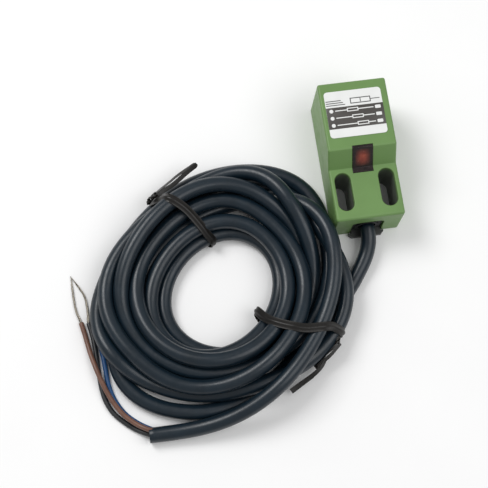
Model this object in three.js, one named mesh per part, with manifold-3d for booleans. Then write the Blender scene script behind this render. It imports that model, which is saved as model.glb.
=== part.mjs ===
// Rectangular inductive proximity sensor with a coiled three-core cable.
// Millimetres, +Z up. Origin: centre of the housing's base face. +Y points out of the
// sensing face, -Y is the cable end, +X is to the right seen from above with +Y up.
import * as THREE from "three";
import { mergeVertices } from "three/addons/utils/BufferGeometryUtils.js";
import Module from "manifold-3d";

const wasm = await Module();
wasm.setup();

// ---------------------------------------------------------------- driving dimensions
const GAP = 0.3; // clearance between neighbouring pieces

// housing: a tall head at the sensing end, a slope, and a lower deck with two slots
const HOUSING_WIDTH = 18;
const HOUSING_LENGTH = 36;
const HEAD_HEIGHT = 18;
const DECK_HEIGHT = 13;
const SLOPE_RUN = 3.65; // along Y, from the head's edge down to the deck
const WALL = 1.2;
const EDGE_RADIUS = 0.6; // corners of the side profile
const SIDE_BEVEL = 0.4; // bevel round each side face

// mounting slots, straight through the deck
const SLOT_WIDTH = 4.2;
const SLOT_LENGTH = 10.2; // end to end
const SLOT_SPACING = 11.5; // centre to centre
const SLOT_END_MARGIN = 2.6; // cable-end wall to the slot's near end
const SLOT_WALL = 1.0;
const SLOT_TO_SLOPE = 1.05; // deck left between the slots' far ends and the slope

// cable outlet in the cable-end wall
const OUTLET_WIDTH = 8.3;
const OUTLET_HEIGHT = 8.7;
const OUTLET_CORNER = 1.4;
const LIP_REACH = 1.5; // how far the base cover's lip stands out under the cable
const LIP_BEYOND_OUTLET = 0.6; // how far the lip runs past the outlet on each side
const LIP_CHAMFER = 0.8;
const COVER_THICKNESS = 1.2;
const NECK_LENGTH = 3.2; // of the grommet, inside the wall
const COLLAR_WALL = 0.6; // of the grommet's ring round the cable

// indicator lens, folded over the head's edge, the slope and the deck
const LENS_WIDTH = 5.5;
const LENS_ON_HEAD = 0.7;
const LENS_ON_DECK = 1.45;
const LENS_THICKNESS = 1.5;
const LENS_PROUD = 0.12;
const GUIDE_WIDTH = 2.6;
const GUIDE_DEPTH = 1.8;

// label on the head's top
const LABEL_WIDTH = 15;
const LABEL_LENGTH = 12.7;
const LABEL_EDGE_MARGIN = 2.6; // sensing-face edge to the label
const LABEL_THICKNESS = 0.15;
const LABEL_CORNER = 0.8;

// circuit board and its parts
const BOARD_WIDTH = 14.4;
const BOARD_THICKNESS = 1.0;
const BOARD_FROM_SLOTS = 0.5; // slot wall to the board's near edge
const LEAD_ROOM = 2.6; // board's far edge to the pot core, for the winding's leads
const BOARD_DEPTH = 7.5; // head top down to the board's top face
const RAIL_WIDTH = 1.2;
const RAIL_HEIGHT = 1.0;
const LED_WIDTH = 2.6;
const LED_HEIGHT = 1.1;
const LED_LENGTH = 2.0;
const LED_FROM_EDGE = 0.45; // board's near edge to the LED
const JOINT_RADIUS = 0.8;
const JOINT_ROW = 3.3; // board's near edge to the row of solder joints

// pot core, bobbin and winding behind the sensing face
const CORE_RADIUS = 6.5;
const CORE_LENGTH = 5.0;
const CORE_BACK = 1.4;
const CORE_POST_RADIUS = 2.7;
const CORE_RIM = 0.9;
const LEAD_HOLE_RADIUS = 0.8;
const BOBBIN_WALL = 0.5;
const LEAD_RADIUS = 0.25;

// cable
const CABLE_DIAMETER = 4.0;
const CORE_WIRE_DIAMETER = 1.3;
const CONDUCTOR_DIAMETER = 0.7;
const CABLE_EXIT_HEIGHT = 4.3;
const STUB_RECESS = 1.2; // sheath stub's end, back inside the grommet's face
const STUB_LENGTH = 10.5;
const ROUTE_REAR_Y = -18; // where the cable-end wall is when the cable's points are given

// coil of spare cable beside the sensor: radius of its outer and inner outline about the
// coil's centre, at equal angles anticlockwise from +X
const COIL_CENTRE = [-40, -29];
const COIL_OUTER = [
  34.9, 32.3, 35.2, 36.6, 33.4, 29.4, 28.4, 31.6,
  34.1, 33.6, 35.2, 34.4, 31.6, 28.0, 31.2, 32.8,
];
const COIL_INNER = [
  14.0, 16.2, 18.9, 17.3, 15.7, 12.9, 11.5, 12.4,
  14.7, 16.9, 16.6, 16.4, 16.0, 14.3, 13.7, 13.5,
];
const COIL_HEIGHT = 9.0;
const COIL_BEVEL = 1.8;
const FEED_ROOM = 0.6; // clearance in the coil round the cable that runs into it

// twist ties around the coil
const TIE_BAND = 2.2; // width along the cable
const TIE_THICKNESS = 0.6;

// ---------------------------------------------------------------- derived places
const FRONT_Y = HOUSING_LENGTH / 2;
const REAR_Y = -HOUSING_LENGTH / 2;
const SLOPE_FOOT_Y = REAR_Y + SLOT_END_MARGIN + SLOT_LENGTH + SLOT_TO_SLOPE;
const HEAD_EDGE_Y = SLOPE_FOOT_Y + SLOPE_RUN;
const SLOT_Y = REAR_Y + SLOT_END_MARGIN + SLOT_LENGTH / 2;
const SLOT_X = SLOT_SPACING / 2;
const CHANNEL_HALF = SLOT_X - SLOT_WIDTH / 2 - SLOT_WALL;
const BOARD_TOP = HEAD_HEIGHT - BOARD_DEPTH;
const BOARD_BOTTOM = BOARD_TOP - BOARD_THICKNESS;
const SLOPE_ANGLE = Math.atan2(HEAD_HEIGHT - DECK_HEIGHT, SLOPE_RUN);
const SKIN = Math.max(WALL, LENS_THICKNESS); // over the board's near edge
const LED_TOP = BOARD_TOP + LED_HEIGHT;
const LED_RISE = Math.max(0, LED_TOP + GAP - (DECK_HEIGHT - SKIN)); // above the deck's underside
const SKIN_FOOT_Y = SLOPE_FOOT_Y + SKIN * Math.tan(SLOPE_ANGLE / 2);
const LED_NEAR_Y = SKIN_FOOT_Y + LED_RISE / Math.tan(SLOPE_ANGLE);
const SLOT_WALL_Y = SLOT_Y + SLOT_LENGTH / 2 + SLOT_WALL;
const BOARD_NEAR_Y = Math.max(SLOT_WALL_Y + BOARD_FROM_SLOTS, LED_NEAR_Y - LED_FROM_EDGE);
const LED_Y = BOARD_NEAR_Y + LED_FROM_EDGE + LED_LENGTH / 2;
const CORE_FRONT_Y = FRONT_Y - WALL - GAP;
const CORE_BACK_Y = CORE_FRONT_Y - CORE_LENGTH;
const BOARD_FAR_Y = CORE_BACK_Y - LEAD_ROOM;
const BOARD_LENGTH = BOARD_FAR_Y - BOARD_NEAR_Y;
const CORE_Z = HEAD_HEIGHT / 2;
const GROMMET_FACE_Y = REAR_Y + 0.3;

// ---------------------------------------------------------------- helpers
const part = new THREE.Group();
const cord = new THREE.Group();
cord.position.y = REAR_Y - ROUTE_REAR_Y;
part.add(cord);

function add(name, geometry, colour, roughness = 0.5, metalness = 0, group = part) {
  const material = new THREE.MeshStandardMaterial({ color: colour, roughness, metalness });
  const mesh = new THREE.Mesh(geometry, material);
  mesh.name = name;
  group.add(mesh);
}

function solid(geometry) {
  const g = geometry.clone();
  g.deleteAttribute("normal");
  g.deleteAttribute("uv");
  const merged = mergeVertices(g, 1e-4);
  const mesh = new wasm.Mesh({
    numProp: 3,
    vertProperties: merged.attributes.position.array,
    triVerts: new Uint32Array(merged.index.array),
  });
  return new wasm.Manifold(mesh);
}

function geometryOf(manifold) {
  const mesh = manifold.getMesh();
  const g = new THREE.BufferGeometry();
  g.setAttribute("position", new THREE.BufferAttribute(mesh.vertProperties, 3));
  g.setIndex(new THREE.BufferAttribute(mesh.triVerts, 1));
  return g;
}

// Box from its low and high corners.
function box(x0, y0, z0, x1, y1, z1) {
  const g = new THREE.BoxGeometry(x1 - x0, y1 - y0, z1 - z0);
  return g.translate((x0 + x1) / 2, (y0 + y1) / 2, (z0 + z1) / 2);
}

// Closed outline through corners [x, y, radius], each corner rounded by its radius.
function roundedShape(corners) {
  const shape = new THREE.Shape();
  corners.forEach(([x, y, radius = 0], i) => {
    const before = corners[(i + corners.length - 1) % corners.length];
    const after = corners[(i + 1) % corners.length];
    const inward = new THREE.Vector2(before[0] - x, before[1] - y).normalize();
    const onward = new THREE.Vector2(after[0] - x, after[1] - y).normalize();
    const half = Math.acos(Math.min(1, Math.max(-1, inward.dot(onward)))) / 2;
    const cut = radius / Math.tan(half);
    const start = [x + inward.x * cut, y + inward.y * cut];
    if (i === 0) shape.moveTo(...start);
    else shape.lineTo(...start);
    if (radius > 0) shape.quadraticCurveTo(x, y, x + onward.x * cut, y + onward.y * cut);
  });
  shape.closePath();
  return shape;
}

function rectangle(width, height, radius, x = 0, y = 0) {
  const a = width / 2;
  const b = height / 2;
  return roundedShape([
    [x - a, y - b, radius],
    [x + a, y - b, radius],
    [x + a, y + b, radius],
    [x - a, y + b, radius],
  ]);
}

function slotShape(width, length, x, y) {
  const r = width / 2;
  const reach = length / 2 - r;
  const shape = new THREE.Shape();
  shape.moveTo(x + r, y - reach);
  shape.lineTo(x + r, y + reach);
  shape.absarc(x, y + reach, r, 0, Math.PI, false);
  shape.lineTo(x - r, y - reach);
  shape.absarc(x, y - reach, r, Math.PI, 2 * Math.PI, false);
  return shape;
}

// Prism standing on z0, up to z1.
function uprightPrism(shape, z0, z1, curveSegments = 6) {
  const g = new THREE.ExtrudeGeometry(shape, { depth: z1 - z0, bevelEnabled: false, curveSegments });
  return g.translate(0, 0, z0);
}

// Prism of a side profile drawn as (y, z), from x0 to x1.
function sidePrism(shape, x0, x1, bevel = 0, curveSegments = 3) {
  const g = new THREE.ExtrudeGeometry(shape, {
    depth: x1 - x0 - 2 * bevel,
    bevelEnabled: bevel > 0,
    bevelThickness: bevel,
    bevelSize: bevel,
    bevelOffset: -bevel,
    bevelSegments: 2,
    curveSegments,
  });
  g.translate(0, 0, x0 + bevel);
  const toSide = new THREE.Matrix4().makeBasis(
    new THREE.Vector3(0, 1, 0),
    new THREE.Vector3(0, 0, 1),
    new THREE.Vector3(1, 0, 0),
  );
  return g.applyMatrix4(toSide);
}

// Prism of an outline drawn as (x, z), from y towards -Y.
function wallPrism(shape, y, depth) {
  const g = new THREE.ExtrudeGeometry(shape, { depth, bevelEnabled: false, curveSegments: 4 });
  g.rotateX(Math.PI / 2);
  return g.translate(0, y, 0);
}

// Solid of revolution about the Y axis through (x, z); profile is [radius, y] points.
function turned(profile, x, z, segments = 32) {
  const points = profile.map(([r, y]) => new THREE.Vector2(r, y));
  points.push(points[0].clone());
  const g = new THREE.LatheGeometry(points, segments);
  return g.translate(x, 0, z);
}

function tube(points, diameter, steps, sides = 8) {
  const section = new THREE.Shape();
  for (let i = 0; i < sides; i += 1) {
    const angle = (2 * Math.PI * i) / sides;
    const x = (diameter / 2) * Math.cos(angle);
    const y = (diameter / 2) * Math.sin(angle);
    if (i === 0) section.moveTo(x, y);
    else section.lineTo(x, y);
  }
  section.closePath();
  const path = new THREE.CatmullRomCurve3(points.map((p) => new THREE.Vector3(...p)));
  return new THREE.ExtrudeGeometry(section, { steps, extrudePath: path, bevelEnabled: false });
}

// ---------------------------------------------------------------- housing
// Side outline of the housing, or of the space inside it when inset.
function headProfile(inset) {
  const r = inset > 0 ? 0 : EDGE_RADIUS;
  const slopeShift = inset * Math.tan(SLOPE_ANGLE / 2);
  return roundedShape([
    [REAR_Y + inset, -inset * 2],
    [FRONT_Y - inset, -inset * 2],
    [FRONT_Y - inset, HEAD_HEIGHT - inset, r],
    [HEAD_EDGE_Y + slopeShift, HEAD_HEIGHT - inset, r],
    [SLOPE_FOOT_Y + slopeShift, DECK_HEIGHT - inset, r],
    [REAR_Y + inset, DECK_HEIGHT - inset, r],
  ]);
}

// Strip along the head, slope and deck, from inner below their surface to outer above it.
function lensProfile(outer, inner, margin) {
  const shift = (d) => d * Math.tan(SLOPE_ANGLE / 2);
  const head = HEAD_EDGE_Y + LENS_ON_HEAD - margin;
  const deck = SLOPE_FOOT_Y - LENS_ON_DECK + margin;
  return roundedShape([
    [head, HEAD_HEIGHT + outer],
    [HEAD_EDGE_Y - shift(outer), HEAD_HEIGHT + outer],
    [SLOPE_FOOT_Y - shift(outer), DECK_HEIGHT + outer],
    [deck, DECK_HEIGHT + outer],
    [deck, DECK_HEIGHT - inner],
    [SLOPE_FOOT_Y + shift(inner), DECK_HEIGHT - inner],
    [HEAD_EDGE_Y + shift(inner), HEAD_HEIGHT - inner],
    [head, HEAD_HEIGHT - inner],
  ]);
}

function makeHousing() {
  const half = HOUSING_WIDTH / 2;
  let body = solid(sidePrism(headProfile(0), -half, half, SIDE_BEVEL));
  body = body.subtract(solid(sidePrism(headProfile(WALL), -half + WALL, half - WALL)));
  for (const side of [-1, 1]) {
    const around = 2 * SLOT_WALL;
    const tower = slotShape(SLOT_WIDTH + around, SLOT_LENGTH + around, side * SLOT_X, SLOT_Y);
    const skin = WALL / 2;
    const inside = box(-half + skin, REAR_Y + skin, 0, half - skin, FRONT_Y, DECK_HEIGHT - skin);
    body = body.add(solid(uprightPrism(tower, 0, DECK_HEIGHT)).intersect(solid(inside)));
  }
  for (const side of [-1, 1]) {
    const slot = slotShape(SLOT_WIDTH, SLOT_LENGTH, side * SLOT_X, SLOT_Y);
    body = body.subtract(solid(uprightPrism(slot, -1, DECK_HEIGHT + 1)));
    const railInner = side * (BOARD_WIDTH / 2 - RAIL_WIDTH / 2);
    const railOuter = side * (half - WALL / 2);
    const rail = box(
      Math.min(railInner, railOuter),
      BOARD_NEAR_Y + 1.5,
      BOARD_BOTTOM - GAP - RAIL_HEIGHT,
      Math.max(railInner, railOuter),
      BOARD_FAR_Y,
      BOARD_BOTTOM - GAP,
    );
    body = body.add(solid(rail));
  }
  const outlet = roundedShape([
    [-OUTLET_WIDTH / 2, -1],
    [OUTLET_WIDTH / 2, -1],
    [OUTLET_WIDTH / 2, OUTLET_HEIGHT, OUTLET_CORNER],
    [-OUTLET_WIDTH / 2, OUTLET_HEIGHT, OUTLET_CORNER],
  ]);
  body = body.subtract(solid(wallPrism(outlet, REAR_Y + WALL, WALL + 1)));
  const pocket = sidePrism(lensProfile(1, LENS_THICKNESS + WALL, 0), -LENS_WIDTH / 2, LENS_WIDTH / 2);
  body = body.subtract(solid(pocket));
  add("housing", geometryOf(body), 0x70965a, 0.42);
}

// The cover closes the housing's base round the two slot towers, and its lip runs out
// under the cable.
function makeBaseCover() {
  const half = HOUSING_WIDTH / 2 - WALL - GAP;
  let cover = solid(box(-half, REAR_Y + WALL + GAP, 0, half, FRONT_Y - WALL - GAP, COVER_THICKNESS));
  const reach = OUTLET_WIDTH / 2 - GAP;
  const lipEnd = REAR_Y - LIP_REACH;
  const wide = OUTLET_WIDTH / 2 + LIP_BEYOND_OUTLET;
  const lip = roundedShape([
    [-reach, REAR_Y + WALL + 1.5],
    [-reach, REAR_Y - GAP],
    [-wide, REAR_Y - GAP],
    [-wide, lipEnd + LIP_CHAMFER],
    [-wide + LIP_CHAMFER, lipEnd],
    [wide - LIP_CHAMFER, lipEnd],
    [wide, lipEnd + LIP_CHAMFER],
    [wide, REAR_Y - GAP],
    [reach, REAR_Y - GAP],
    [reach, REAR_Y + WALL + 1.5],
  ]);
  cover = cover.add(solid(uprightPrism(lip, 0, COVER_THICKNESS)));
  for (const side of [-1, 1]) {
    const margin = 2 * (SLOT_WALL + GAP);
    const hole = slotShape(SLOT_WIDTH + margin, SLOT_LENGTH + margin, side * SLOT_X, SLOT_Y);
    cover = cover.subtract(solid(uprightPrism(hole, -1, COVER_THICKNESS + 1)));
  }
  const kept = cover.decompose().sort((a, b) => b.volume() - a.volume())[0];
  add("base_cover", geometryOf(kept), 0x3a3c3d, 0.6);
}

function makeGrommet() {
  const half = OUTLET_WIDTH / 2 - GAP;
  const floor = COVER_THICKNESS + GAP;
  const plate = roundedShape([
    [-half, floor],
    [half, floor],
    [half, OUTLET_HEIGHT - GAP, OUTLET_CORNER - GAP],
    [-half, OUTLET_HEIGHT - GAP, OUTLET_CORNER - GAP],
  ]);
  const plateBack = REAR_Y + WALL;
  let body = solid(wallPrism(plate, plateBack, WALL / 2));
  const neck = CHANNEL_HALF - GAP;
  const neckTop = CABLE_EXIT_HEIGHT + CABLE_DIAMETER / 2 + 1;
  const neckStart = plateBack - WALL / 4;
  body = body.add(solid(box(-neck, neckStart, floor, neck, plateBack + NECK_LENGTH, neckTop)));
  const collarRoot = plateBack - WALL / 3;
  const boreRadius = CABLE_DIAMETER / 2 + GAP;
  const ring = boreRadius + COLLAR_WALL;
  const collar = new THREE.CylinderGeometry(ring, ring + 0.3, collarRoot - GROMMET_FACE_Y, 24);
  collar.translate(0, (collarRoot + GROMMET_FACE_Y) / 2, CABLE_EXIT_HEIGHT);
  const aboveCover = box(-half, REAR_Y - WALL, floor, half, plateBack, OUTLET_HEIGHT);
  body = body.add(solid(collar).intersect(solid(aboveCover)));
  const bore = new THREE.CylinderGeometry(boreRadius, boreRadius, 4 * NECK_LENGTH, 24);
  body = body.subtract(solid(bore.translate(0, REAR_Y, CABLE_EXIT_HEIGHT)));
  add("cable_grommet", geometryOf(body), 0x2b2d2f, 0.65);
}

function makeCableEntry() {
  const r = CABLE_DIAMETER / 2;
  const start = GROMMET_FACE_Y + STUB_RECESS;
  const sheath = new THREE.CylinderGeometry(r, r, STUB_LENGTH, 24);
  add("cable_stub", sheath.translate(0, start + STUB_LENGTH / 2, CABLE_EXIT_HEIGHT), 0x2a3238, 0.6);
  const half = CHANNEL_HALF - GAP;
  const from = REAR_Y + WALL + NECK_LENGTH + GAP;
  const to = start + STUB_LENGTH - 0.8;
  const top = CABLE_EXIT_HEIGHT + r + 1.2;
  let resin = solid(box(-half, from, CABLE_EXIT_HEIGHT + r / 2, half, to, top));
  const bore = new THREE.CylinderGeometry(r + GAP, r + GAP, 30, 24);
  resin = resin.subtract(solid(bore.translate(0, from, CABLE_EXIT_HEIGHT)));
  add("potting_resin", geometryOf(resin), 0x1c1c1e, 0.3);
  const wires = [
    ["inner_wire_brown", -1, 0x7a5040],
    ["inner_wire_black", 0, 0x202224],
    ["inner_wire_blue", 1, 0x2a5f9a],
  ];
  const sheathEnd = start + STUB_LENGTH;
  const spread = CORE_WIRE_DIAMETER / 2 + 0.1;
  const jointY = BOARD_NEAR_Y + JOINT_ROW;
  for (const [name, lane, colour] of wires) {
    const x = lane * 2 * spread;
    const lift = lane === 0 ? 0.7 : -0.5;
    const route = [
      [x, sheathEnd + GAP, CABLE_EXIT_HEIGHT + lift],
      [x * 1.1, sheathEnd + 1.6, CABLE_EXIT_HEIGHT + lift + 0.2],
      [x * 1.5, jointY - 1, CABLE_EXIT_HEIGHT + lift + 1.8],
      [x * 1.6, jointY, BOARD_BOTTOM - 1.2],
      [x * 1.6, jointY, BOARD_BOTTOM - GAP],
    ];
    add(name, tube(route, CORE_WIRE_DIAMETER, 10), colour, 0.5);
    const joint = new THREE.CylinderGeometry(0.35, JOINT_RADIUS, 0.7, 12).rotateX(Math.PI / 2);
    joint.translate(x * 1.6, jointY, BOARD_TOP + 0.35);
    add(`solder_joint${name.slice(10)}`, joint, 0xc8c8c8, 0.25, 1);
  }
}

// ---------------------------------------------------------------- indicator and label
function makeLens() {
  const half = LENS_WIDTH / 2 - 0.1;
  let lens = solid(sidePrism(lensProfile(LENS_PROUD, LENS_THICKNESS, 0.1), -half, half));
  const guideTop = (HEAD_HEIGHT + DECK_HEIGHT) / 2 - 1;
  const across = GUIDE_WIDTH / 2;
  const along = GUIDE_DEPTH / 2;
  const guide = box(-across, LED_Y - along, LED_TOP + GAP, across, LED_Y + along, guideTop);
  lens = lens.add(solid(guide));
  add("led_lens", geometryOf(lens), 0x38201e, 0.15);
}

function makeLabel() {
  const y = FRONT_Y - LABEL_EDGE_MARGIN - LABEL_LENGTH / 2;
  const plate = rectangle(LABEL_WIDTH, LABEL_LENGTH, LABEL_CORNER, 0, y);
  add("name_label", uprightPrism(plate, HEAD_HEIGHT + 0.02, HEAD_HEIGHT + LABEL_THICKNESS), 0xf2f2ee, 0.35);
}

// ---------------------------------------------------------------- sensing coil
function makeSensingCoil() {
  const back = CORE_BACK_Y;
  const grooveOuter = CORE_RADIUS - CORE_RIM;
  const profile = [
    [0, back],
    [CORE_RADIUS, back],
    [CORE_RADIUS, CORE_FRONT_Y],
    [grooveOuter, CORE_FRONT_Y],
    [grooveOuter, back + CORE_BACK],
    [CORE_POST_RADIUS, back + CORE_BACK],
    [CORE_POST_RADIUS, CORE_FRONT_Y],
    [0, CORE_FRONT_Y],
  ];
  let core = solid(turned(profile, 0, CORE_Z));
  const leadX = (grooveOuter + CORE_POST_RADIUS) / 2;
  for (const side of [-1, 1]) {
    const hole = new THREE.CylinderGeometry(LEAD_HOLE_RADIUS, LEAD_HOLE_RADIUS, CORE_BACK + 1, 12);
    core = core.subtract(solid(hole.translate(side * leadX, back + CORE_BACK / 2, CORE_Z)));
  }
  add("ferrite_core", geometryOf(core), 0x4a4a4c, 0.7);

  const inner = CORE_POST_RADIUS + GAP;
  const outer = grooveOuter - GAP;
  const rear = back + CORE_BACK + GAP;
  const front = CORE_FRONT_Y - GAP;
  const hub = inner + BOBBIN_WALL;
  const bobbin = [
    [inner, rear],
    [outer, rear],
    [outer, rear + BOBBIN_WALL],
    [hub, rear + BOBBIN_WALL],
    [hub, front - BOBBIN_WALL],
    [outer, front - BOBBIN_WALL],
    [outer, front],
    [inner, front],
  ];
  add("coil_bobbin", turned(bobbin, 0, CORE_Z), 0xd8d4c4, 0.5);
  const windingInner = hub + 0.1;
  const windingOuter = outer - 0.2;
  const winding = [
    [windingInner, rear + BOBBIN_WALL + 0.1],
    [windingOuter, rear + BOBBIN_WALL + 0.1],
    [windingOuter, front - BOBBIN_WALL - 0.1],
    [windingInner, front - BOBBIN_WALL - 0.1],
  ];
  add("coil_winding", turned(winding, 0, CORE_Z), 0xa8592a, 0.35, 0.8);
  for (const side of [-1, 1]) {
    const x = side * leadX;
    const landing = BOARD_FAR_Y - 1.1;
    const lead = [
      [x, rear - GAP, CORE_Z],
      [x, back - 0.6, CORE_Z],
      [x, back - 1.1, (CORE_Z + BOARD_TOP) / 2],
      [x, back - 1.3, BOARD_TOP + 0.8],
      [x, landing + 0.3, BOARD_TOP + 1.2],
      [x, landing, BOARD_TOP + GAP],
    ];
    add(`coil_lead_${side < 0 ? "left" : "right"}`, tube(lead, 2 * LEAD_RADIUS, 16), 0xb4622e, 0.35, 0.8);
  }
}

// ---------------------------------------------------------------- circuit board
function makeBoard() {
  const a = BOARD_WIDTH / 2;
  const board = box(-a, BOARD_NEAR_Y, BOARD_BOTTOM, a, BOARD_FAR_Y, BOARD_TOP);
  add("circuit_board", board, 0x2f6b3c, 0.5);
  const farRow = BOARD_LENGTH - 1.3;
  const chipRow = (JOINT_ROW + JOINT_RADIUS + farRow - 0.45) / 2;
  const seat = 0.05;
  const chips = [
    // name, x, y from the board's near edge, width, length, height, colour
    ["led", 0, LED_FROM_EDGE + LED_LENGTH / 2, LED_WIDTH, LED_LENGTH, LED_HEIGHT, 0xc03028],
    ["oscillator_chip", 0, chipRow, 5.0, 4.0, 1.6, 0x202022],
    ["output_transistor", -5.2, 3.9, 2.6, 4.4, 1.5, 0x202022],
    ["protection_diode", 5.3, 3.3, 1.8, 3.4, 1.3, 0x2a2a2c],
    ["capacitor_supply", 5.2, 7.4, 1.8, 3.3, 1.7, 0xc8a050],
    ["capacitor_tuning", -5.2, 8.1, 1.3, 2.0, 1.1, 0xb08a5a],
    ["resistor_led", -2.9, 1.2, 0.9, 1.7, 0.5, 0x1e2a30],
    ["resistor_bias", 2.9, 1.2, 0.9, 1.7, 0.5, 0x1e2a30],
    ["resistor_gain", -1.2, farRow, 1.7, 0.9, 0.5, 0x1e2a30],
    ["resistor_output", 1.6, farRow, 1.7, 0.9, 0.5, 0x1e2a30],
  ];
  for (const [name, x, along, w, l, h, colour] of chips) {
    const y = BOARD_NEAR_Y + along;
    const chip = box(x - w / 2, y - l / 2, BOARD_TOP + seat, x + w / 2, y + l / 2, BOARD_TOP + h);
    add(name, chip, colour, 0.5);
  }
}

// ---------------------------------------------------------------- cable outside the housing
const FEED = [
  [0, -18.5, CABLE_EXIT_HEIGHT],
  [0, -20.5, 4.1],
  [-0.3, -22.6, 3.4],
  [-1.3, -25.2, 2.7],
  [-3.0, -28.0, 2.2],
  [-4.9, -30.6, 2.05],
];
const TAIL = [
  [-38.2, -63.3, 2.05],
  [-40.8, -63.8, 2.05],
  [-43.4, -64.1, 2.05],
  [-46.2, -64.4, 2.05],
  [-50.0, -64.8, 2.05],
  [-54.0, -65.0, 2.05],
  [-58.4, -64.5, 2.05],
  [-62.6, -63.3, 2.05],
];
const BROWN = [
  [-63.7, -62.7, 2.9],
  [-66.4, -60.9, 2.3],
  [-69.0, -58.4, 2.1],
  [-71.0, -55.5, 2.05],
  [-72.5, -52.4, 2.1],
  [-73.6, -49.4, 2.15],
  [-74.6, -46.0, 2.1],
  [-75.5, -42.4, 1.5],
  [-76.1, -39.2, 0.9],
  [-76.6, -36.0, 0.7],
  [-77.2, -32.9, 0.7],
];
const BLACK = [
  [-64.2, -63.5, 1.3],
  [-66.9, -61.9, 0.8],
  [-69.8, -59.4, 0.65],
  [-72.0, -56.8, 0.65],
  [-73.4, -53.6, 0.65],
  [-74.0, -50.2, 0.65],
  [-74.2, -46.6, 0.65],
  [-74.3, -43.2, 0.65],
  [-74.4, -40.0, 0.65],
  [-74.7, -36.6, 0.65],
  [-75.3, -33.2, 0.65],
];
const BLUE = [
  [-63.2, -62.4, 1.3],
  [-65.9, -60.6, 0.8],
  [-68.6, -58.1, 0.65],
  [-70.4, -55.3, 0.65],
  [-71.6, -52.4, 0.65],
  [-72.2, -49.4, 0.65],
  [-72.4, -46.0, 0.65],
  [-72.6, -42.8, 0.65],
  [-72.9, -40.0, 0.65],
  [-73.0, -39.0, 0.65],
];
// stripped ends of the brown and black cores
const BROWN_END = [
  [-77.35, -32.4, 0.6],
  [-78.1, -29.6, 0.5],
  [-78.4, -26.0, 0.4],
  [-78.5, -20.1, 0.4],
];
const BLACK_END = [
  [-75.4, -32.7, 0.6],
  [-75.2, -30.0, 0.5],
  [-75.5, -26.2, 0.4],
  [-76.5, -23.8, 0.4],
  [-77.6, -22.0, 0.4],
];

function makeCable() {
  add("cable_feed", tube(FEED, CABLE_DIAMETER, 8, 10), 0x2a3238, 0.6, 0, cord);
  add("cable_tail", tube(TAIL, CABLE_DIAMETER, 10, 10), 0x2a3238, 0.6, 0, cord);
  add("core_brown", tube(BROWN, CORE_WIRE_DIAMETER, 24), 0x7a5040, 0.5, 0, cord);
  add("core_black", tube(BLACK, CORE_WIRE_DIAMETER, 24), 0x202224, 0.5, 0, cord);
  add("core_blue", tube(BLUE, CORE_WIRE_DIAMETER, 20), 0x2a5f9a, 0.5, 0, cord);
  add("conductor_brown", tube(BROWN_END, CONDUCTOR_DIAMETER, 6), 0xb8b4a8, 0.35, 0.9, cord);
  add("conductor_black", tube(BLACK_END, CONDUCTOR_DIAMETER, 8), 0xb8b4a8, 0.35, 0.9, cord);
}

// Closed curve round the coil's centre through radii given at equal angles.
function coilOutline(radii, steps = 64) {
  const points = radii.map((r, i) => {
    const angle = (i * 2 * Math.PI) / radii.length;
    return new THREE.Vector3(r * Math.cos(angle), r * Math.sin(angle), 0);
  });
  const curve = new THREE.CatmullRomCurve3(points, true);
  return curve.getPoints(steps).slice(0, -1).map((p) => new THREE.Vector2(p.x, p.y));
}

// A twist tie: where it crosses the coil, from its outer end to its inner end.
const TIES = [
  {
    name: "twist_tie_upper",
    outer: [-57.4, -2.6],
    inner: [-40.2, -16.8],
    tail: [[-57.1, -2.4, 3.2], [-54.2, -0.2, 3.1], [-48.4, 3.8, 2.9], [-42.2, 6.3, 2.7]],
  },
  {
    name: "twist_tie_lower",
    outer: [-12.0, -47.3],
    inner: [-32.2, -36.6],
    tail: [[-12.4, -47.4, 3.2], [-14.6, -50.8, 3.1], [-20.2, -55.6, 2.9], [-26.4, -59.5, 2.6]],
  },
];

function tieBand(tie, grow) {
  const across = new THREE.Vector2(tie.inner[0] - tie.outer[0], tie.inner[1] - tie.outer[1]);
  const width = across.length() + 2 * grow;
  const height = COIL_HEIGHT + TIE_THICKNESS + GAP + grow;
  const low = grow > 0 ? -1 : 0.02;
  const frame = roundedShape([
    [-width / 2, low, 2],
    [width / 2, low, 2],
    [width / 2, height, 3],
    [-width / 2, height, 3],
  ]);
  const window = TIE_THICKNESS + 2 * grow;
  const hole = roundedShape([
    [-width / 2 + window, TIE_THICKNESS + grow, 1.4],
    [width / 2 - window, TIE_THICKNESS + grow, 1.4],
    [width / 2 - window, height - window, 2.4],
    [-width / 2 + window, height - window, 2.4],
  ]);
  frame.holes.push(hole);
  const band = TIE_BAND + 2 * grow;
  const g = new THREE.ExtrudeGeometry(frame, { depth: band, bevelEnabled: false, curveSegments: 4 });
  g.translate(0, 0, -band / 2);
  g.rotateX(Math.PI / 2);
  g.rotateZ(Math.atan2(across.y, across.x));
  return g.translate((tie.inner[0] + tie.outer[0]) / 2, (tie.inner[1] + tie.outer[1]) / 2, 0);
}

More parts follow.
